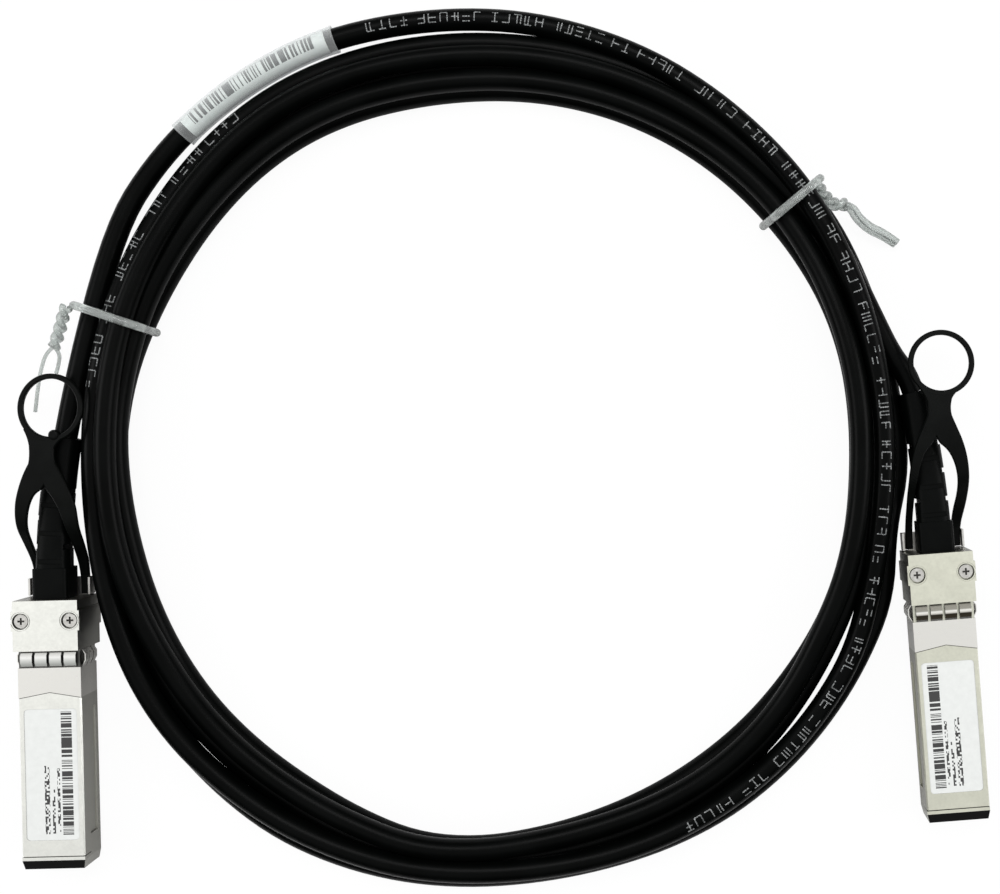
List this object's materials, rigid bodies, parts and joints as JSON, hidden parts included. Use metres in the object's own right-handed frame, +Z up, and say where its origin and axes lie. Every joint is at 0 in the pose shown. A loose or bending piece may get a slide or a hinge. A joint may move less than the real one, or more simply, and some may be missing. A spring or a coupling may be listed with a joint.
{
  "type": "direct attach network cable",
  "caption": "Coiled round cable with a latching metal pluggable connector, strain relief and finger-ring pull tab at each end, held by twist ties.",
  "frame": {"origin": "bottom centre of the box round both connectors with their pull tabs, on the table", "axes": "+Z up off the table, +X from the left connector towards the right one, +Y from the plugs towards the coil's far side"},
  "size_m": [0.2083, 0.1915, 0.014],
  "materials": {
    "nickel_cover": "satin nickel-plated die casting",
    "nickel_base": "satin nickel-plated die casting",
    "screw_steel": "bright zinc-plated steel",
    "spring_steel": "plated sheet spring steel",
    "slider_steel": "stamped stainless steel",
    "label_paper": "white satin film",
    "board": "green solder mask",
    "gold_pads": "gold plate",
    "chip_resin": "black resin",
    "capacitor_ceramic": "ceramic",
    "ferrule_brass": "plain brass",
    "wire_insulation": "extruded insulation",
    "cable_jacket": "satin black sheath",
    "boot_rubber": "matt black moulding",
    "tab_rubber": "matt black moulding",
    "clear_sleeve": "clear heat-shrink film",
    "tie_plastic": "translucent white coating"
  },
  "bodies": {
    "cable_set": {"left_top_cover": "nickel_cover", "left_base_shell": "nickel_base", "left_cover_screws": "screw_steel", "left_spring_sleeve": "spring_steel", "left_label": "label_paper", "left_circuit_board": "board", "left_edge_pads": "gold_pads", "left_memory_chip": "chip_resin", "left_capacitors": "capacitor_ceramic", "left_return_spring": "slider_steel", "left_cable_boot": "boot_rubber", "left_cable_end": "cable_jacket", "left_crimp_ferrule": "ferrule_brass", "left_wire_pairs": "wire_insulation", "right_top_cover": "nickel_cover", "right_base_shell": "nickel_base", "right_cover_screws": "screw_steel", "right_spring_sleeve": "spring_steel", "right_label": "label_paper", "right_circuit_board": "board", "right_edge_pads": "gold_pads", "right_memory_chip": "chip_resin", "right_capacitors": "capacitor_ceramic", "right_return_spring": "slider_steel", "right_cable_boot": "boot_rubber", "right_cable_end": "cable_jacket", "right_crimp_ferrule": "ferrule_brass", "right_wire_pairs": "wire_insulation", "cable_coil": "cable_jacket", "left_cable_lead": "cable_jacket", "right_cable_lead": "cable_jacket", "cable_label": "label_paper", "label_sleeve": "clear_sleeve", "left_tie": "tie_plastic", "right_tie": "tie_plastic"},
    "left_release": {"left_latch_slider": "slider_steel", "left_pull_tab": "tab_rubber"},
    "right_release": {"right_latch_slider": "slider_steel", "right_pull_tab": "tab_rubber"}
  },
  "joints": [
    {"name": "left_release_slide", "type": "slide", "parent": "cable_set", "child": "left_release", "axis": [-0.0244, 0.9997, 0], "range_m": [0, 0.0025], "stiffness_N_per_m": 200, "springref_m": -0.004, "deforming": ["left_return_spring"]},
    {"name": "right_release_slide", "type": "slide", "parent": "cable_set", "child": "right_release", "axis": [-0.0767, 0.9971, 0], "range_m": [0, 0.0025], "stiffness_N_per_m": 200, "springref_m": -0.004, "deforming": ["right_return_spring"]}
  ]
}
